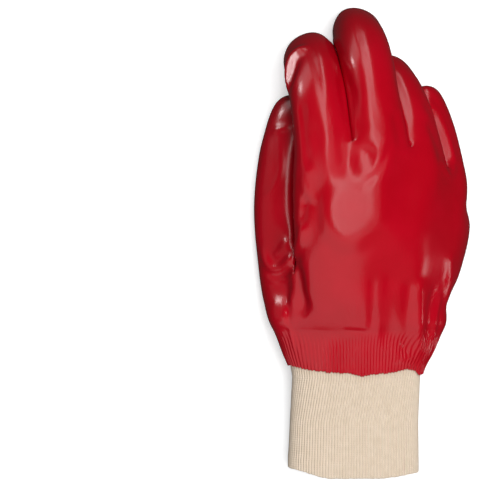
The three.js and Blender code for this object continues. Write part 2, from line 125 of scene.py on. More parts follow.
LAMPS = [
    {"name": "strip", "place": (-0.03, 0.72, 1.05), "aim": (-0.03, 0, 0), "size": (0.24, 2.05),
     "bright": 3.5},
    {"name": "far", "place": (-0.05, 1.5, 0.33), "aim": (-0.05, 0, 0.33), "size": (0.3, 0.6),
     "bright": 2.2},
    {"name": "far_left", "place": (-0.85, 1.2, 0.42), "aim": (0, 0, 0), "size": (1.0, 0.75), "bright": 1.6},
    {"name": "front", "place": (-0.95, -0.9, 1.0), "aim": (-0.95, 0, 0), "size": (2.6, 1.75),
     "bright": 0.8},
    {"name": "front_right", "place": (0.73, -0.9, 1.0), "aim": (0.73, 0, 0), "size": (0.75, 1.75),
     "bright": 0.12},
    {"name": "left", "place": (-1.3, 0.25, 0.45), "aim": (0, 0, 0), "size": (1.3, 0.7), "bright": 0.22},
    {"name": "low_left", "place": (-0.75, 0.53, 0.21), "aim": (0, 0, 0), "size": (0.15, 0.12),
     "bright": 20},
    {"name": "low_right", "place": (0.8, -0.37, 0.14), "aim": (0, 0, 0), "size": (0.2, 0.12), "bright": 5},
    {"name": "fill", "place": (0.42, 0.0, 1.45), "aim": (0, 0, 0), "size": (0.85, 0.85), "bright": 7.5},
]
# These show in the gloss only, so that they don't change how the glove is lit.
ONLY_IN_GLOSS = ("far", "far_left", "left", "low_left", "low_right")
for lamp in LAMPS:
    data = bpy.data.lights.new(lamp["name"], "AREA")
    data.shape = "RECTANGLE"
    data.size, data.size_y = lamp["size"]
    data.energy = lamp["bright"] * math.pi * data.size * data.size_y
    panel = new_object(lamp["name"], data)
    panel.location = lamp["place"]
    way = Vector(lamp["aim"]) - Vector(lamp["place"])
    panel.rotation_euler = way.to_track_quat("-Z", "Y").to_euler()
    panel.visible_glossy = lamp["name"] != "fill"
    panel.visible_diffuse = lamp["name"] not in ONLY_IN_GLOSS

world = bpy.data.worlds.new("studio")
world.use_nodes = True
world.node_tree.nodes["Background"].inputs["Color"].default_value = (1, 1, 1, 1)
world.node_tree.nodes["Background"].inputs["Strength"].default_value = 0.05
bpy.context.scene.world = world
bpy.context.scene.view_settings.view_transform = "Standard"
print(len(LAMPS), "panels")

# %% [markdown]
# ## Writing materials as sums
# A material is a web of nodes, and most of them are small sums. They could be dragged together in the
# Shader Editor, or made one by one in Python, which hides the sum behind its wiring. So one class wraps
# an output socket and lets Python's own operators add the Math nodes.

# %% Writing materials as sums
class Value:
    """An output socket of a finish, on which sums can be written."""

    def __init__(self, finish, socket):
        self.finish = finish
        self.socket = socket

    def sum(self, operation, *values):
        return self.finish.node("Math", {"operation": operation}, *values)

    def __add__(self, other):
        return self.sum("ADD", self, other)

    __radd__ = __add__

    def __mul__(self, other):
        return self.sum("MULTIPLY", self, other)

    __rmul__ = __mul__

    def between(self, low, high):
        """0 below low, 1 above high and a smooth step between."""
        return self.finish.node("MapRange", {"interpolation_type": "SMOOTHSTEP"}, Value=self,
                                From_Min=low, From_Max=high)


print("sums on sockets: + and *")

# %% [markdown]
# ## A finish
# Every node that is not a sum comes from one method, which sets the node's settings before its sockets,
# because some settings change which sockets there are. Noise and bump are used by every finish of the
# glove, so each has a method of its own.

# %% A finish
class Finish:
    """A material with one shader, to which nodes are added by name."""

    def __init__(self, name):
        self.material = bpy.data.materials.new(name)
        self.material.use_nodes = True
        self.tree = self.material.node_tree
        self.shader = self.tree.nodes["Principled BSDF"]

    def put(self, socket, value):
        if isinstance(value, Value):
            self.tree.links.new(value.socket, socket)
        elif hasattr(socket.default_value, "__len__") and len(value) < len(socket.default_value):
            socket.default_value = (*value, 1)
        else:
            socket.default_value = value

    def node(self, kind, settings=None, *values, output=0, **named):
        made = self.tree.nodes.new("ShaderNode" + kind)
        for setting, value in (settings or {}).items():
            setattr(made, setting, value)
        for socket, value in zip(made.inputs, values):
            self.put(socket, value)
        for name, value in named.items():
            self.put(next(s for s in made.inputs if name in (s.identifier, s.name.replace(" ", "_"))), value)
        return Value(self, made.outputs[output])

    def mix(self, factor, first, second):
        """Two colours, mixed. Every kind of mix has sockets of its own in this node, so they are named."""
        return self.node("Mix", {"data_type": "RGBA"}, Factor_Float=factor, A_Color=first, B_Color=second,
                         output=2)

    def noise(self, scale, detail=2):
        place = self.node("TexCoord", output=3)
        return self.node("TexNoise", None, Vector=place, Scale=scale, Detail=detail)

    def bump(self, height, distance, strength):
        return self.node("Bump", None, Height=height, Distance=distance, Strength=strength)

    def set(self, **sockets):
        for name, value in sockets.items():
            self.put(self.shader.inputs[name.replace("_", " ")], value)
        return self.material


def rgb(red, green, blue):
    """A colour as it reads on a screen, 0 to 255, in the linear numbers that a shader takes."""
    return tuple((c / 255 / 12.92) if c < 10.3 else ((c / 255 + 0.055) / 1.055) ** 2.4
                 for c in (red, green, blue))


print("white on a screen is", rgb(255, 255, 255), "in a shader")

# %% [markdown]
# ## Floor paint
# The board is matt white, with a faint mottle that keeps it from being one flat number. A stronger lamp
# could keep it white where the panels light it less, but it would wash out the glove too, so the board
# has a soft glow of its own.

# %% Floor paint
board = Finish("white_board")
board_tone = board.noise(40).between(0.3, 0.7)
floor.data.materials.append(board.set(
    Base_Color=board.mix(board_tone, (0.88, 0.88, 0.88), (0.9, 0.9, 0.9)), Roughness=0.8,
    Emission_Color=(1, 1, 1), Emission_Strength=0.45))
print("floor painted")

# %% [markdown]
# ## Tools for working a surface
# The folds are modelled like a sculptor's strokes: each is a line drawn in plan on the glove, with a
# width and a height, and every point of the surface near it moves in or out. Cloth simulation would not
# give the photograph's own folds, because they come from how this very glove was pulled off a hand. Numpy
# works on all the points at once, so thousands of points and dozens of strokes take a moment. First come
# the tools that read a surface's points, write them back and even them out.

# %% Tools for working a surface
def read_points(mesh):
    points = np.empty(len(mesh.vertices) * 3)
    mesh.vertices.foreach_get("co", points)
    return points.reshape(-1, 3)


def write_points(mesh, points):
    mesh.vertices.foreach_set("co", np.ascontiguousarray(points).ravel())
    mesh.update()


def read_normals(mesh):
    normals = np.empty(len(mesh.vertices) * 3)
    mesh.vertex_normals.foreach_get("vector", normals)
    return normals.reshape(-1, 3)


def read_edges(mesh):
    edges = np.empty(len(mesh.edges) * 2, dtype=np.int64)
    mesh.edges.foreach_get("vertices", edges)
    return edges.reshape(-1, 2)


def smooth_step(value, low, high):
    share = np.clip((value - low) / (high - low), 0, 1)
    return share * share * (3 - 2 * share)


def relax(mesh, rounds):
    """Evens a surface out without shrinking it: each round draws points in and then lets them out again."""
    points = read_points(mesh)
    edges = read_edges(mesh)
    count = np.bincount(edges.ravel(), minlength=len(points))[:, None]
    for _ in range(rounds):
        for pull in (0.5, -0.52):
            total = np.zeros_like(points)
            np.add.at(total, edges[:, 0], points[edges[:, 1]])
            np.add.at(total, edges[:, 1], points[edges[:, 0]])
            points = points + (total / count - points) * pull
    write_points(mesh, points)


print("half way up a smooth step:", smooth_step(0.5, 0, 1))

# %% [markdown]
# ## Waves and lines
# Two things shape the folds. Slow random waves keep the vinyl from being too even; a noise texture on a
# Displace modifier would do, but a sum of seeded waves can be read by the next step. Lines carry the
# strokes: a curve is drawn through a few corners, and every point asks how far from it it lies.

# %% Waves and lines
def ripple(points, scale, seed):
    """A smooth random height from -1 to 1 at each point, from a few waves in seeded directions."""
    random = np.random.default_rng(seed)
    total = np.zeros(len(points))
    waves = 24
    for _ in range(waves):
        way = random.normal(size=3)
        way *= random.uniform(0.6, 1.5) / np.linalg.norm(way)
        total += np.sin(points @ way * 2 * math.pi / scale + random.uniform(0, 2 * math.pi))
    return total / math.sqrt(waves / 2) / 2


def line_distance(line, plan):
    """From each point in plan: how far the line is, and at which share of its length."""
    line = np.array(line)
    lengths = np.linalg.norm(np.diff(line, axis=0), axis=1)
    starts = np.concatenate([[0], np.cumsum(lengths)])
    best = np.full(len(plan), np.inf)
    share = np.zeros(len(plan))
    for start, end, length, passed in zip(line, line[1:], lengths, starts):
        way = (end - start) / length
        offset = plan - start
        along = np.clip(offset @ way, 0, length)
        far = np.linalg.norm(offset - along[:, None] * way, axis=1)
        nearer = far < best
        best = np.where(nearer, far, best)
        share = np.where(nearer, (passed + along) / starts[-1], share)
    return best, share


def curve_through(corners, steps=6):
    """A smooth line through a few corners."""
    corners = np.array(corners, dtype=float)
    padded = np.vstack([2 * corners[0] - corners[1], corners, 2 * corners[-1] - corners[-2]])
    line = []
    for a, b, c, d in zip(padded, padded[1:], padded[2:], padded[3:]):
        for t in np.arange(steps) / steps:
            line.append(0.5 * (2 * b + (c - a) * t + (2 * a - 5 * b + 4 * c - d) * t ** 2
                               + (3 * b - a - 3 * c + d) * t ** 3))
    line.append(corners[-1])
    return np.array(line)


print("a curve through 3 corners has", len(curve_through([(0, 0), (1, 1), (2, 0)])), "points")

# %% [markdown]
# ## The coat's skin
# The real coat is a smooth film over the hand. The coat's solid is a shell of flat triangles, with an
# outside, an inside and a rim between them. The outside could be picked out by hand in Edit Mode, but a
# script finds it again when the solid changes: the rim's faces are deleted, and the shell falls into its
# two sides. The triangles are paired into four-sided faces, which divide evenly. The inside becomes the
# cotton lining, a piece of its own.

# %% The coat's skin
PAIR_ANGLE, PAIR_SHAPE = math.radians(50), math.radians(75)
RIM_SLOPE, RIM_ZONE = -0.75, 8 * MM  # the rim's faces look towards the wrist and lie near the hem


def shell_sides(node):
    """The outside and the inside of an open shell, as two meshes of mostly four-sided faces."""
    work = bmesh.new()
    work.from_mesh(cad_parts[node].data)
    bmesh.ops.remove_doubles(work, verts=work.verts, dist=0.01 * MM)
    bmesh.ops.join_triangles(work, faces=work.faces, angle_face_threshold=PAIR_ANGLE,
                             angle_shape_threshold=PAIR_SHAPE)
    work.normal_update()
    hem = min(v.co.y for v in work.verts)
    rim = [f for f in work.faces
           if f.normal.y < RIM_SLOPE and f.calc_center_median().y < hem + RIM_ZONE]
    bmesh.ops.delete(work, geom=rim, context="FACES_ONLY")
    work.verts.index_update()
    sides = []
    left = dict.fromkeys(work.faces)  # unlike a set, it keeps its order, so that every run is the same
    while left:
        grown = [left.popitem()[0]]
        for face in grown:
            for edge in face.edges:
                for other in edge.link_faces:
                    if other in left:
                        del left[other]
                        grown.append(other)
        sides.append(grown)
    sides.sort(key=lambda faces: -sum(f.calc_area() for f in faces))
    meshes = []
    for name, faces in zip((node + "_outside", node + "_inside"), sides):
        points = sorted({v for f in faces for v in f.verts}, key=lambda v: v.index)
        place = {v: i for i, v in enumerate(points)}
        mesh = bpy.data.meshes.new(name)
        mesh.from_pydata([v.co[:] for v in points], [], [[place[v] for v in f.verts] for f in faces])
        meshes.append(mesh)
    work.free()
    print(node, "sides:", [len(m.polygons) for m in meshes], "faces, parts found:", len(sides))
    return meshes


outside, inside = shell_sides("coated_hand")

# %% [markdown]
# ## A smooth, dense skin
# Gloss shows every facet, and the folds need many points. A remesh would make the skin smooth and dense
# too, but it would round off the open hem. So two rounds of subdivision keep the hem where it is, and the
# skin is relaxed afterwards, because subdivision keeps small dents of the solid.

# %% A smooth, dense skin
def subdivide(mesh, levels):
    """Smooth subdivision, applied."""
    holder = new_object("holder", mesh)
    maker = holder.modifiers.new("smooth", "SUBSURF")
    maker.levels = levels
    maker.boundary_smooth = "PRESERVE_CORNERS"
    ready = holder.evaluated_get(bpy.context.evaluated_depsgraph_get())
    made = bpy.data.meshes.new_from_object(ready)
    bpy.data.objects.remove(holder)
    made.name = mesh.name
    return made


skin = subdivide(outside, 2)
relax(skin, 10)
print("skin:", len(skin.vertices), "points")

# %% [markdown]
# ## Fingers side by side
# On the real glove the fingers press against each other, and the dark line between them is closed. The
# solids keep a gap there, because solids may not touch. A collision simulation could press the walls
# together; casting a ray from each point of a wall to the wall that faces it finds the gap directly, and
# the wall is let out by half. All of the skin is let out a little as well, by what relaxing took, and the
# fingertips by the most.

# %% Fingers side by side
LOST = 0.2 * MM
LOST_AT_TIPS = 0.9 * MM
GAP_LEFT = 0.08 * MM
GAP_REACH = 4.4 * MM
FACING = -0.3  # below this, the product of two walls' normals means that they face each other
SPREADING = 4  # how many times the swelling is spread to the points beside


def close_gaps(mesh, gap, reach):
    """Lets the skin out by what relaxing took, and swells walls that face each other."""
    points = read_points(mesh)
    normals = read_normals(mesh)
    tree = BVHTree.FromPolygons(points.tolist(), [p.vertices[:] for p in mesh.polygons])
    lift = LOST + LOST_AT_TIPS * smooth_step(normals[:, 1], 0.3, 1)
    for i in np.flatnonzero(points[:, 1] > 0):
        way = Vector(normals[i])
        start = Vector(points[i]) + way * 0.05 * MM
        hit, facing, _, far = tree.ray_cast(start, way, reach)
        if hit is not None and facing.dot(way) < FACING:
            lift[i] = max(0, far - gap) / 2 * smooth_step(reach - far, 0, reach / 3)
    edges = read_edges(mesh)
    count = np.bincount(edges.ravel(), minlength=len(points))
    for _ in range(SPREADING):
        total = np.bincount(edges[:, 0], lift[edges[:, 1]], len(points))
        total += np.bincount(edges[:, 1], lift[edges[:, 0]], len(points))
        lift = 0.5 * lift + 0.5 * total / count
    write_points(mesh, points + normals * lift[:, None])
    return lift.max()


swollen = close_gaps(skin, GAP_LEFT, GAP_REACH)
print("facing fingers swollen by up to", round(swollen / MM, 2), "mm")

# %% [markdown]
# ## Folds of the coat
# Each row is one stroke. Its corners are pixels of the photograph; wide and high are in millimetres, and
# a negative height is a hollow. A narrow hollow is a crease and gets a small shoulder on both sides,
# because the vinyl is pushed aside and not cut. The same marks could be a bump in the material, but they
# show in the outline and in the long streaks of gloss, which only real shape bends. The palm side is
# hidden in this picture; it has the creases that a hand makes where its fingers and its thumb bend.

# %% Folds of the coat
BACK = [
    # the rolled edge of the hand over the thumb, its marks, and the loop round the thumb's root
    {"wide": 2.6, "high": 0.7, "line": [(299, 100), (303, 130), (306, 160), (305, 190), (303, 222)]},
    {"wide": 1.5, "high": 0.5, "line": [(300, 178), (305, 188), (311, 194)]},
    {"wide": 1.5, "high": -0.5, "line": [(302, 196), (308, 202), (314, 210)]},
    {"wide": 1.7, "high": 0.5, "line": [(299, 206), (303, 214), (306, 224)]},
    {"wide": 2.0, "high": 1.4, "line": [(303, 212), (302, 237), (294, 257), (277, 269), (267, 262),
                                       (260, 240)]},
    {"wide": 2.6, "high": 0.9, "line": [(272, 259), (281, 252), (292, 238)]},
    {"wide": 1.2, "high": -0.9, "line": [(264, 272), (278, 276), (292, 268), (304, 252)]},
    {"wide": 1.1, "high": -0.7, "line": [(288, 284), (288, 304), (289, 328)]},
    {"wide": 1.0, "high": 0.6, "line": [(289, 325), (292, 337), (296, 354)]},
    # the back swells slowly up to a broad crest across it, and falls from there to the wrist
    {"wide": 20.0, "high": 1.6, "line": [(270, 236), (310, 236), (360, 236), (410, 236), (450, 236)]},
    # the hollow between that edge and the first knuckle, and the one between the first two knuckles
    {"wide": 4.0, "high": -0.9, "line": [(311, 108), (315, 150), (317, 185), (317, 220), (308, 246),
                                        (292, 270)]},
    {"wide": 6.0, "high": -1.4, "line": [(345, 60), (344, 100), (343, 140), (345, 182)]},
    # the thumb
    {"wide": 1.0, "high": 0.5, "line": [(270, 126), (278, 136), (281, 152), (280, 174), (270, 192),
                                       (256, 199)]},
    {"wide": 1.5, "high": 0.9, "line": [(272, 128), (281, 127), (291, 124)]},
    # webs and knuckles
    {"wide": 2.6, "high": -0.8, "line": [(351, 84), (355, 116), (358, 140)]},
    {"wide": 1.5, "high": -0.45, "line": [(342, 178), (352, 185), (364, 184), (376, 173), (384, 156),
                                         (389, 142)]},
    {"wide": 2.6, "high": -0.9, "line": [(390, 112), (396, 132), (400, 152)]},
    {"wide": 1.2, "high": 0.6, "line": [(412, 146), (411, 156), (405, 155), (398, 153)]},
    {"wide": 3.2, "high": -1.5, "line": [(428, 116), (437, 138), (446, 168)]},
    {"wide": 1.2, "high": 0.9, "line": [(457, 158), (456, 170), (451, 175), (446, 168), (443, 156)]},
    # gathers above the seam
    {"wide": 2.4, "high": 0.7, "line": [(453, 250), (453, 280), (450, 312)]},
    {"wide": 1.8, "high": -0.7, "line": [(430, 345), (431, 312), (438, 280)]},
    {"wide": 1.4, "high": 0.6, "line": [(436, 344), (438, 318), (444, 292)]},
    {"wide": 1.3, "high": -0.3, "line": [(349, 300), (350, 322)]},
    {"wide": 1.2, "high": -0.3, "line": [(342, 331), (356, 332), (370, 334)]},
]
PALM = [
    {"wide": 2.4, "high": -1.6, "line": [(454, 212), (426, 201), (396, 183), (388, 160)]},
    {"wide": 2.0, "high": -1.2, "line": [(396, 186), (382, 206), (373, 221)]},
    {"wide": 2.4, "high": -1.3, "line": [(361, 160), (345, 183), (327, 226)]},
    {"wide": 2.4, "high": -1.3, "line": [(437, 246), (411, 232), (394, 206)]},
]
print("strokes:", len(BACK), "on the back,", len(PALM), "on the palm side")

# %% [markdown]
# ## Crests and flats
# Where the stretched vinyl makes a narrow crest, it shines in one long even streak, and a stroke is too
# round for that. A bevel would need an edge that the skin doesn't have there, so each crest is a line
# too: the surface is levelled across it, and wide is the half width. A height sets the strip above or
# below the surface that was there. Each flat is a patch where the vinyl is drawn tight: its middle, its
# half widths across and along, and how far it is tilted to the left and towards the wrist, in degrees.

# %% Crests and flats
CRESTS = [
    {"wide": 1.9, "line": [(305, 38), (310, 54), (315, 74), (320, 96), (324, 120), (328, 146), (334, 172),
                           (341, 188)]},
    {"wide": 1.4, "line": [(301, 102), (303, 122), (305, 144), (308, 172)]},
    {"wide": 1.4, "line": [(305, 196), (304, 209), (302, 226)]},
    {"wide": 2.2, "line": [(356, 14), (359, 30), (364, 51), (370, 80), (374, 108), (381, 134)]},
    {"wide": 1.8, "line": [(395, 64), (401, 84), (406, 106), (410, 130), (412, 150)]},
    {"wide": 2.8, "line": [(426, 94), (437, 110), (447, 132), (453, 150), (457, 166)]},
    {"wide": 2.6, "line": [(376, 362), (376, 330), (376, 305), (376, 270)]},
    {"wide": 4.8, "high": -0.35, "line": [(415, 362), (415, 330), (415, 305), (416, 276)]},
]
FLATS = [
    {"at": (348, 212), "size": (17, 22), "left": 0, "down": 0},
    {"at": (376, 141), "size": (5.5, 7), "left": 0, "down": -4},
    {"at": (363, 163), "size": (6, 10), "left": 1, "down": -3},
    {"at": (299, 291), "size": (8, 17), "left": 19, "down": 9},
    {"at": (292, 61), "size": (7, 20), "left": 36, "down": -15},
]
print("crests:", len(CRESTS), "flats:", len(FLATS))

# %% [markdown]
# ## How a stroke moves the skin
# A sculptor would do this by hand in Sculpt Mode, but then the folds could not be changed later by a
# number. Here every point asks how far it is from the stroke's line. The stroke moves it along its own
# normal, by a bell curve across the line that fades at both ends.

# %% How a stroke moves the skin
CREASE = 2.2  # hollows narrower than this are creases, with a shoulder on both sides
SHOULDER, SHOULDER_AT = 0.4, 1.9
FADE = 0.22  # the share of a stroke's length over which each end fades


def stroke_height(stroke, points, height):
    line = curve_through([on_glove(column, row, height) for column, row in stroke["line"]])
    far, share = line_distance(line, points[:, :2])
    across = far / (stroke["wide"] * MM)
    taper = smooth_step(share, 0, FADE) * smooth_step(1 - share, 0, FADE)
    lift = np.exp(-across ** 2)
    if stroke["high"] < 0 and stroke["wide"] < CREASE:
        lift = lift - SHOULDER * np.exp(-(across - SHOULDER_AT) ** 2)
    return lift * taper * stroke["high"] * MM


widest = max(stroke["wide"] for stroke in BACK)
print("the widest stroke is", widest, "mm to each side")

# %% [markdown]
# ## How a flat and a crest draw the skin
# A Shrinkwrap modifier could pull a patch of skin onto a plane, but with a hard edge round it. So each
# point near a flat is drawn onto its plane by a weight that fades outwards, and each point near a crest's
# line is drawn to the height of the line itself, by no more than the lining below allows.

# %% How a flat and a crest draw the skin
CREST_HEIGHT = 45 * MM
MOST_LEVELLED = 1.3 * MM
FULL_UNTIL, NONE_FROM = 0.55, 1.1  # of a flat's half widths
FLAT_DEPTH = 5 * MM  # a flat draws nothing that lies deeper than this under it
CREST_STATIONS, CREST_FADE = 21, 0.15
CREST_FULL_UNTIL, CREST_NONE_FROM = 0.7, 1.9  # of a crest's half width


def press_flat(points, normals, flat):
    """Draws the points round a place on the back onto a plane, fully in the middle and less at the edge."""
    column, row = flat["at"]
    plan = np.array(on_glove(column, row, CREST_HEIGHT))
    near = np.linalg.norm(points[:, :2] - plan, axis=1) < 1.2 * MM
    centre = np.array([*plan, points[near, 2].max()])
    left, down = math.radians(flat["left"]), math.radians(flat["down"])
    normal = np.array([-math.sin(left) * math.cos(down), -math.sin(down), math.cos(left) * math.cos(down)])
    across = np.cross((0, 1, 0), normal)
    across /= np.linalg.norm(across)
    offset = points - centre
    height = offset @ normal
    wide, long = flat["size"]
    out = np.hypot(offset @ across / (wide * MM), offset @ np.cross(normal, across) / (long * MM))
    weight = 1 - smooth_step(out, FULL_UNTIL, NONE_FROM)
    weight *= smooth_step(normals @ normal, 0.2, 0.5)
    weight *= smooth_step(FLAT_DEPTH - np.abs(height), 0, FLAT_DEPTH / 2)
    return points - normal * (height * weight)[:, None]


def level_crest(points, normals, crest):
    """Draws the points beside a line to the height of the line, so that the surface is level across it."""
    line = curve_through([on_glove(column, row, CREST_HEIGHT) for column, row in crest["line"]])
    far, share = line_distance(line, points[:, :2])
    upper = smooth_step(normals[:, 2], 0.2, 0.6)
    stations = np.linspace(0, 1, CREST_STATIONS)
    heights = []
    for station in stations:
        near = np.exp(-(far / (0.8 * MM)) ** 2 - ((share - station) / 0.06) ** 2) * upper
        heights.append((near * points[:, 2]).sum() / near.sum())
    goal = np.interp(share, stations, heights) + crest.get("high", 0) * MM
    weight = (1 - smooth_step(far / (crest["wide"] * MM), CREST_FULL_UNTIL, CREST_NONE_FROM)) * upper
    weight *= smooth_step(share, 0, CREST_FADE) * smooth_step(1 - share, 0, CREST_FADE)
    moved = points.copy()
    moved[:, 2] += np.clip(goal - points[:, 2], -MOST_LEVELLED, MOST_LEVELLED) * weight
    return moved


print("a crest moves the skin by", round(MOST_LEVELLED / MM, 1), "mm at most")

# %% [markdown]
# ## Laying the folds on the skin
# On a real glove a deep crease runs over the small unevenness of the dip, and tight places have neither.
# The order here is the same: strokes and waves first, then the crests, then the flats, and a last short
# relaxing that takes the corners off. The normals tell the back from the palm side, so a stroke doesn't
# go through.

# %% Laying the folds on the skin
BACK_HEIGHT, PALM_HEIGHT = 40 * MM, 10 * MM
SLOW_WAVES, FAST_WAVES = 0.16 * MM, 0.04 * MM


def fold_coat(mesh):
    points = read_points(mesh)
    normals = read_normals(mesh)
    back = smooth_step(normals[:, 2], -0.05, 0.45)
    palm = smooth_step(-normals[:, 2], 0.05, 0.5)
    lift = np.zeros(len(points))
    for stroke in BACK:
        lift += back * stroke_height(stroke, points, BACK_HEIGHT)
    for stroke in PALM:
        lift += palm * stroke_height(stroke, points, PALM_HEIGHT)
    lift += ripple(points, 38 * MM, SEED) * SLOW_WAVES + ripple(points, 14 * MM, SEED + 1) * FAST_WAVES
    points = points + normals * lift[:, None]
    for crest in CRESTS:
        points = level_crest(points, normals, crest)
    for flat in FLATS:
        points = press_flat(points, normals, flat)
    write_points(mesh, points)
    relax(mesh, 2)
    return lift


fold_lift = fold_coat(skin)
print("deepest fold", round(fold_lift.min() / MM, 2), "mm, highest", round(fold_lift.max() / MM, 2), "mm")

# %% [markdown]
# ## The coated band
# Below the seam the vinyl covers the top of the knit, and the ribs show through. A bump in the material
# could draw them, but the outline and the shadows would stay smooth. So the band's faces are cut finer
# across, which leaves the hand's faces as they are, and the ribs become real shape. The skin is drawn in
# until it hugs the knit.

# %% The coated band
SEAM_ROW = 331
BAND_HEIGHT = 30 * MM
SEAM = on_glove(0, SEAM_ROW, BAND_HEIGHT)[1]
BAND_CUTS = 3
LEVEL = 0.45  # the rise, as a share of its length, below which an edge counts as lying across


def cut_band(mesh, top):
    work = bmesh.new()
    work.from_mesh(mesh)
    low = {v for v in work.verts if v.co.y < top}
    level = [e for e in work.edges
             if all(v in low for v in e.verts)
             and abs(e.verts[0].co.y - e.verts[1].co.y) < LEVEL * e.calc_length()]
    bmesh.ops.subdivide_edges(work, edges=level, cuts=BAND_CUTS, use_grid_fill=True)
    work.to_mesh(mesh)
    work.free()
    mesh.update()


cut_band(skin, SEAM + 4 * MM)
print("skin with its band cut:", len(skin.vertices), "points")

# %% [markdown]
# ## Ribs and a ragged hem
# The dip ends in a ragged line that runs a little lower on each rib, because wet vinyl creeps along the
# yarn. A mask could cut such an edge out of the picture, but the hem has thickness. So the skin's own
# edge is moved: to the wavy line of the photograph first, and then up or down by a seeded amount on each
# rib.

# %% Ribs and a ragged hem
RIBS = 112
TUBE_MIDDLE = (-2 * MM, 16 * MM)  # across and above the floor
TUBE_SHAPE = 1.6  # how many times as wide as high the tube is taken to be
COAT_RIB, COAT_RIB_VARIES = 0.14, 0.05
RIBS_FROM, RIBS_FULL = -1 * MM, 7 * MM  # below the seam
SEAM_DEPTH, SEAM_VARIES, SEAM_WIDE = 0.12, 0.16, 1.3 * MM
DRAWN_IN, DRAWN_FROM, DRAWN_FULL = 0.35, 8 * MM, 22 * MM
RIB_DRIP, RANDOM_DRIP = 0.25, 0.35
HEM_ZONE, HEM_FADE = 12 * MM, 10 * MM
EDGE = [
    {"column": 284, "row": 364}, {"column": 301, "row": 368.6}, {"column": 328, "row": 372.4},
    {"column": 350, "row": 373.5}, {"column": 362, "row": 376}, {"column": 385, "row": 373.2},
    {"column": 407, "row": 369.6}, {"column": 417, "row": 371.5}, {"column": 421, "row": 376},
    {"column": 427, "row": 374},
]


def around(points):
    """The way round the wrist, as a share of a turn."""
    middle_x, middle_z = TUBE_MIDDLE
    return np.arctan2((points[:, 2] - middle_z) * TUBE_SHAPE, points[:, 0] - middle_x) / (2 * math.pi)


def hem_ring(mesh):
    """The points of a skin's open edge."""
    work = bmesh.new()
    work.from_mesh(mesh)
    ring = np.array([v.co[:] for v in work.verts if v.is_boundary])
    work.free()
    return ring


def hem_shift(mesh, points):
    """How far up each point moves so that the hem follows the photograph's wavy edge."""
    ring = hem_ring(mesh)
    wanted = np.array([on_glove(corner["column"], corner["row"], BAND_HEIGHT) for corner in EDGE])
    shift = np.zeros(len(points))
    middle = ring[:, 2].mean()
    for side, sign, share in ((ring[:, 2] > middle, 1, 1.0), (ring[:, 2] <= middle, -1, 0.5)):
        row = ring[side]
        row = row[np.argsort(row[:, 0])]
        now = np.interp(points[:, 0], row[:, 0], row[:, 1])
        goal = np.interp(points[:, 0], wanted[:, 0], wanted[:, 1])
        here = (points[:, 2] - middle) * sign > 0
        shift = np.where(here, (goal - now) * share, shift)
    return shift


def rib_band(mesh):
    points = read_points(mesh)
    normals = read_normals(mesh)
    shift = hem_shift(mesh, points)
    hem = points[:, 1].min()
    under = SEAM - points[:, 1]
    below = smooth_step(under, RIBS_FROM, RIBS_FULL)
    turn = around(points)
    rib = np.cos(turn * 2 * math.pi * RIBS)
    strength = COAT_RIB + COAT_RIB_VARIES * ripple(points, 22 * MM, SEED + 4)
    depth = SEAM_DEPTH + SEAM_VARIES * ripple(points, 16 * MM, SEED + 5)
    groove = np.exp(-(under / SEAM_WIDE) ** 2) * depth
    lift = below * strength * rib - DRAWN_IN * smooth_step(under, DRAWN_FROM, DRAWN_FULL) - groove
    points = points + normals * (lift * MM)[:, None]
    random = np.random.default_rng(SEED)
    drips = random.uniform(-1, 1, RIBS)
    drip = drips[np.floor((turn % 1) * RIBS).astype(int) % RIBS]
    near = smooth_step(hem + HEM_ZONE - points[:, 1], 0, HEM_FADE)
    points[:, 1] += near * (shift - (RIB_DRIP * rib + RANDOM_DRIP * drip) * MM)
    write_points(mesh, points)


rib_band(skin)
print("ribs on the band:", RIBS)

# %% [markdown]
# ## Where the hem ended up
# The knit disappears under the coat exactly where the ragged hem is. An object could be tested against
# the other with a Boolean, but the knit needs only one number at each place across: how far down the hem
# is, on the back and on the palm side.

# %% Where the hem ended up
def hem_line(mesh, x, upper):
    """Where the hem is along the glove, at a place across it, on the back or on the palm side."""
    ring = hem_ring(mesh)
    row = ring[(ring[:, 2] > ring[:, 2].mean()) == upper]
    row = row[np.argsort(row[:, 0])]
    return np.interp(x, row[:, 0], row[:, 1])


hem_places = np.linspace(-60 * MM, 60 * MM, 121)
hem_back = hem_line(skin, hem_places, True)
hem_palm = hem_line(skin, hem_places, False)
print("hem on the back, from", round(hem_back.min() / MM, 1), "to", round(hem_back.max() / MM, 1), "mm")

# %% [markdown]
# ## The hem's lip
# A skin without thickness looks like paper at its edge. A Solidify modifier would thicken all of it and
# double its faces; only the hem shows its thickness, so only there is a lip turned in: by the thickness
# of the coat, and then up inside, out of sight. Blender's own extrude would do, but it lists what it made
# in another order on every run, so the lip is made edge by edge. With it the coat is whole and takes its
# place in the model.

# %% The hem's lip
COAT_THICKNESS = 0.5 * MM
LIP_HEIGHT = 4 * MM


def turn_hem_in(mesh, depth, height):
    """Gives the skin's open edge a lip: inwards by the coat's thickness and then up inside."""
    work = bmesh.new()
    work.from_mesh(mesh)
    work.normal_update()
    edges = [e for e in work.edges if e.is_boundary]
    for inwards, up in ((depth, 0.15 * MM), (depth * 0.2, height)):
        lip = dict.fromkeys(v for e in edges for v in e.verts)
        middle = sum((v.co for v in lip), Vector()) / len(lip)
        for v in lip:
            way = Vector((middle.x - v.co.x, 0, (middle.z - v.co.z) * TUBE_SHAPE)).normalized()
            lip[v] = work.verts.new(v.co + way * inwards + Vector((0, up, 0)))
        turned = []
        for e in edges:
            loop = e.link_loops[0]
            here, there = loop.vert, loop.link_loop_next.vert
            work.faces.new((there, here, lip[here], lip[there]))
            turned.append(work.edges.get((lip[here], lip[there])))
        edges = turned
    work.to_mesh(mesh)
    work.free()
    mesh.update()


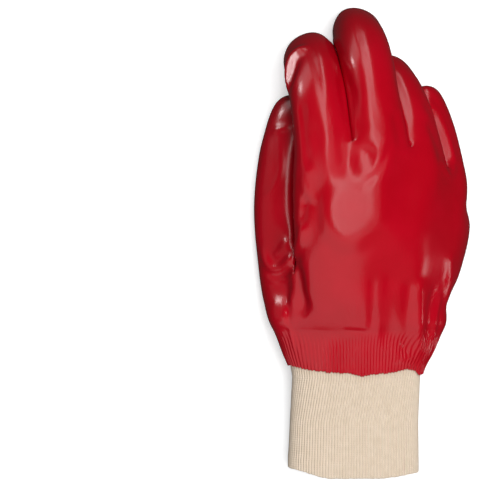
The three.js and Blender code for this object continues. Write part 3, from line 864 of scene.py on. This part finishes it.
turn_hem_in(skin, COAT_THICKNESS, LIP_HEIGHT)
skin.polygons.foreach_set("use_smooth", [True] * len(skin.polygons))
coat = new_object("coat", skin)
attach(coat, "root")
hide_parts("coated_hand")
print("coat:", len(skin.polygons), "faces")

# %% [markdown]
# ## Red vinyl
# Soft vinyl is glossy but never a mirror: a very fine grain breaks the gloss, and it is duller in patches
# where the dip ran thin. A clear coat over a matt red would shine too, but dipped vinyl is one material
# through and through, so one plain glossy layer is truer. One slow noise varies its red and its roughness
# a little.

# %% Red vinyl
vinyl = Finish("red_vinyl")
grain = vinyl.noise(900, 3)
patches = vinyl.noise(45, 3)
tone = patches.between(0.35, 0.7)
skin.materials.append(vinyl.set(
    Base_Color=vinyl.mix(tone, rgb(176, 0, 22), rgb(182, 1, 26)),
    Roughness=0.17 + 0.07 * patches + 0.04 * grain,
    Normal=vinyl.bump(grain, 0.05 * MM, 0.5),
    Specular_IOR_Level=0.5))
print("vinyl on", coat.name)

# %% [markdown]
# ## The lining
# Through the open wrist one looks at the cotton that the vinyl was dipped over. It could be the back of
# the coat's skin with a second material, but the coat's creases would then show inside, and cotton is too
# thick for that. So it is the inside of the coat's solid, smoothed once and drawn in a little, clear of
# the deepest creases. Its hem ends above the coat's own ragged hem, because the dip runs down past it
# onto the knit.

# %% The lining
LINING_IN = 0.7 * MM
LINING_UP = 2.5 * MM
lining_mesh = subdivide(inside, 1)
lining_points = read_points(lining_mesh) + read_normals(lining_mesh) * LINING_IN
lining_low = lining_points[:, 1].min()
near_hem = smooth_step(lining_low + HEM_ZONE - lining_points[:, 1], 0, HEM_FADE)
lining_points[:, 1] += near_hem * (hem_shift(lining_mesh, lining_points) + LINING_UP)
write_points(lining_mesh, lining_points)
lining_mesh.polygons.foreach_set("use_smooth", [True] * len(lining_mesh.polygons))
lining = new_object("cotton_lining", lining_mesh)
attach(lining, "root")
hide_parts("coated_hand")
print("lining:", len(lining_mesh.polygons), "faces")

# %% [markdown]
# ## Brushed cotton
# The liner is brushed on its inside, so no yarn shows, only a pale nap without gloss. Hair particles
# could stand for the nap, but it is shorter than a picture can show, so a fine noise does for its tone
# and relief.

# %% Brushed cotton
cotton = Finish("brushed_cotton")
fuzz = cotton.noise(1400, 4)
lining_mesh.materials.append(cotton.set(
    Base_Color=cotton.mix(fuzz, rgb(214, 198, 172), rgb(232, 220, 200)), Roughness=0.95,
    Normal=cotton.bump(fuzz, 0.2 * MM, 0.6)))
print("cotton on", lining.name)

# %% [markdown]
# ## The knit's outline
# The wrist is a rib-knit tube, flattened where it lies. Subdividing its solid would blur the ribs, and
# modelling every stitch would take millions of faces, so the tube is laid out new, ring by ring. For that
# its outline is read at every height: rays are shot at the solid's middle from all round, and what they
# hit is evened out and divided into equal steps.

# %% The knit's outline
RAYS = 720
EVENED_OVER = 25


def tube_outline(tree, y, middle, count):
    """The tube's outer outline at a height, as equally spaced points in x and z."""
    found = []
    for step in range(RAYS):
        turn = 2 * math.pi * step / RAYS
        way = Vector((math.cos(turn), 0, 0.5 * math.sin(turn)))
        start = Vector((middle[0], y, middle[1])) + way * 0.1
        hit = tree.ray_cast(start, -way.normalized())[0]
        found.append((hit.x, hit.z))
    found = np.array(found)
    kernel = np.hanning(EVENED_OVER)
    kernel /= kernel.sum()
    half = EVENED_OVER // 2
    padded = np.concatenate([found[-half:], found, found[:half]])
    found = np.stack([np.convolve(padded[:, k], kernel, "valid") for k in (0, 1)], axis=1)
    closed = np.vstack([found, found[:1]])
    passed = np.concatenate([[0], np.cumsum(np.linalg.norm(np.diff(closed, axis=0), axis=1))])
    places = np.arange(count) / count * passed[-1]
    return np.stack([np.interp(places, passed, closed[:, k]) for k in (0, 1)], axis=1)


def outward(ring):
    ahead = np.roll(ring, -1, axis=0) - np.roll(ring, 1, axis=0)
    normal = np.stack([ahead[:, 1], -ahead[:, 0]], axis=1)
    return normal / np.linalg.norm(normal, axis=1)[:, None]


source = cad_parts["knit_wrist"].data
tree = BVHTree.FromPolygons([v.co[:] for v in source.vertices], [p.vertices[:] for p in source.polygons])
low, high = (np.array(corner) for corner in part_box("knit_wrist"))
print("the knit in mm, across, along and up:", [round(v / MM, 1) for v in high - low])

# %% [markdown]
# ## The knit wrist
# In a rib knit, columns of stitches stand up in turn and sink between. The ribs could be an Array of
# strips, but they have to close exactly round the tube, and a wave laid on its rings always does. The
# knit draws in where the coat covers it. The open end is the turned edge of the knit, so it is rounded
# over.

# %% The knit wrist
KNIT_WALL = 1.6 * MM
KNIT_INSET = KNIT_WALL - 0.5 * MM
RIB_HEIGHT, INNER_RIB_HEIGHT = 0.3, 0.1
TUCK = 0.6  # how far the knit draws in under the coat
TUCK_FROM, TUCK_FULL = 0.3 * MM, 3 * MM
COLUMNS_PER_RIB = 6
RINGS, INNER_STEP, INNER_RISE = 50, 7, 0.4 * MM
TOP_CLEAR = 0.3 * MM
END_ROUNDING, END_STEPS = 0.8 * MM, 6
WHOLE_FROM = 7 * MM  # above this the solid's outline is closed all round


def knit_layers(count):
    """The knit as rings of points: down its outside, round its open end and up its inside."""
    middle = ((low[0] + high[0]) / 2, TUBE_MIDDLE[1])
    rings = []
    for y in np.linspace(low[1] + END_ROUNDING, high[1] - TOP_CLEAR, RINGS):
        ring = tube_outline(tree, max(y, low[1] + WHOLE_FROM), middle, count)
        rings.append((y, ring, outward(ring)))
    rib = np.cos(np.arange(count) / COLUMNS_PER_RIB * 2 * math.pi)
    layers = []
    first = rings[0]
    for y, ring, way in rings[::-1]:
        hem = np.where(ring[:, 1] > TUBE_MIDDLE[1], np.interp(ring[:, 0], hem_places, hem_back),
                       np.interp(ring[:, 0], hem_places, hem_palm))
        tucked = smooth_step(y - hem, TUCK_FROM, TUCK_FULL)
        layers.append((y, ring + way * ((RIB_HEIGHT * rib * (1 - tucked) - TUCK * tucked) * MM)[:, None]))
    for turn in np.linspace(0.2, math.pi, END_STEPS):
        inset = KNIT_INSET / 2 * (1 - math.cos(turn))
        drop = END_ROUNDING * math.sin(turn)
        layers.append((first[0] - drop, first[1] + first[2] * ((RIB_HEIGHT * rib * MM) - inset)[:, None]))
    for y, ring, way in rings[::INNER_STEP]:
        layers.append((y + INNER_RISE, ring + way * ((INNER_RIB_HEIGHT * rib * MM) - KNIT_INSET)[:, None]))
    return layers


ring_size = RIBS * COLUMNS_PER_RIB
layers = knit_layers(ring_size)
print("knit:", len(layers), "rings of", ring_size, "points")

# %% [markdown]
# ## The knit's open end
# The end of the tube is not cut off straight: its two sides are drawn up a little, since the knit pulls
# in where the flattened tube turns, and every rib ends a hair higher or lower. A lattice could bend the
# end, but a rule on each ring's height does it exactly. Then neighbouring rings are joined by faces.

# %% The knit's open end
CORNER_REACH = 27 * MM
THUMB_CORNER, LITTLE_CORNER = 4.5 * MM, 2 * MM
CORNER_FROM = 0.35  # of the way from the middle to the side
END_WAVE, WAVE_REACH = 0.12 * MM, 5 * MM
LOWEST = 0.02 * MM  # above the surface that the knit is pressed flat on


def draw_up(layers):
    random = np.random.default_rng(SEED + 2)
    drift = np.repeat(random.uniform(-1, 1, RIBS), COLUMNS_PER_RIB)
    points = []
    for y, ring in layers:
        left, right = ring[:, 0].min(), ring[:, 0].max()
        aside = (2 * ring[:, 0] - left - right) / (right - left)
        corner = np.where(aside < 0, THUMB_CORNER, LITTLE_CORNER)
        corner = corner * smooth_step(np.abs(aside), CORNER_FROM, 1)
        rise = corner * smooth_step(low[1] + CORNER_REACH - y, 0, CORNER_REACH)
        wave = END_WAVE * drift * smooth_step(low[1] + WAVE_REACH - y, 0, WAVE_REACH)
        points.append(np.stack([ring[:, 0], y + rise + wave, np.maximum(ring[:, 1], LOWEST)], axis=1))
    return points


def join_rings(name, points):
    """Faces between neighbouring rings, and between the last and the first."""
    count = len(points[0])
    faces = []
    for i in range(len(points)):
        here, there = i * count, (i + 1) % len(points) * count
        for j in range(count):
            k = (j + 1) % count
            faces.append((here + j, here + k, there + k, there + j))
    mesh = bpy.data.meshes.new(name)
    mesh.from_pydata(np.concatenate(points).tolist(), [], faces)
    work = bmesh.new()
    work.from_mesh(mesh)
    bmesh.ops.recalc_face_normals(work, faces=work.faces)
    work.to_mesh(mesh)
    work.free()
    return mesh


knit_mesh = join_rings("knit_cuff", draw_up(layers))
knit_mesh.polygons.foreach_set("use_smooth", [True] * len(knit_mesh.polygons))
knit = new_object("knit_cuff", knit_mesh)
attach(knit, "root")
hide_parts("knit_wrist")
print("knit:", len(knit_mesh.polygons), "faces,", RIBS, "ribs")

# %% [markdown]
# ## Undyed cotton yarn
# Cotton knit scatters light and shows no gloss. Rows of stitches make a fine crosswise beat on every rib.
# A photograph of cloth would show them, but it stretches where the tube bends; a wave along the tube and
# two noises never do. The undyed yarn wanders between cream and straw, and a little sheen stands for its
# loose fibres.

# %% Undyed cotton yarn
yarn = Finish("undyed_yarn")
place = yarn.node("TexCoord", output=3)
stitch_rows = yarn.node("TexWave", {"wave_type": "BANDS", "bands_direction": "Y"}, Vector=place, Scale=260,
                        Distortion=1.5, Detail=2, output=1)
slub = yarn.noise(300, 5)
fibre = yarn.noise(1800, 3)
knit_mesh.materials.append(yarn.set(
    Base_Color=yarn.mix(slub, rgb(206, 188, 165), rgb(227, 210, 191)),
    Roughness=0.95,
    Normal=yarn.bump(0.6 * stitch_rows + 0.6 * fibre, 0.18 * MM, 0.7),
    Sheen_Weight=0.2, Sheen_Roughness=0.6))
print("yarn on", knit.name)
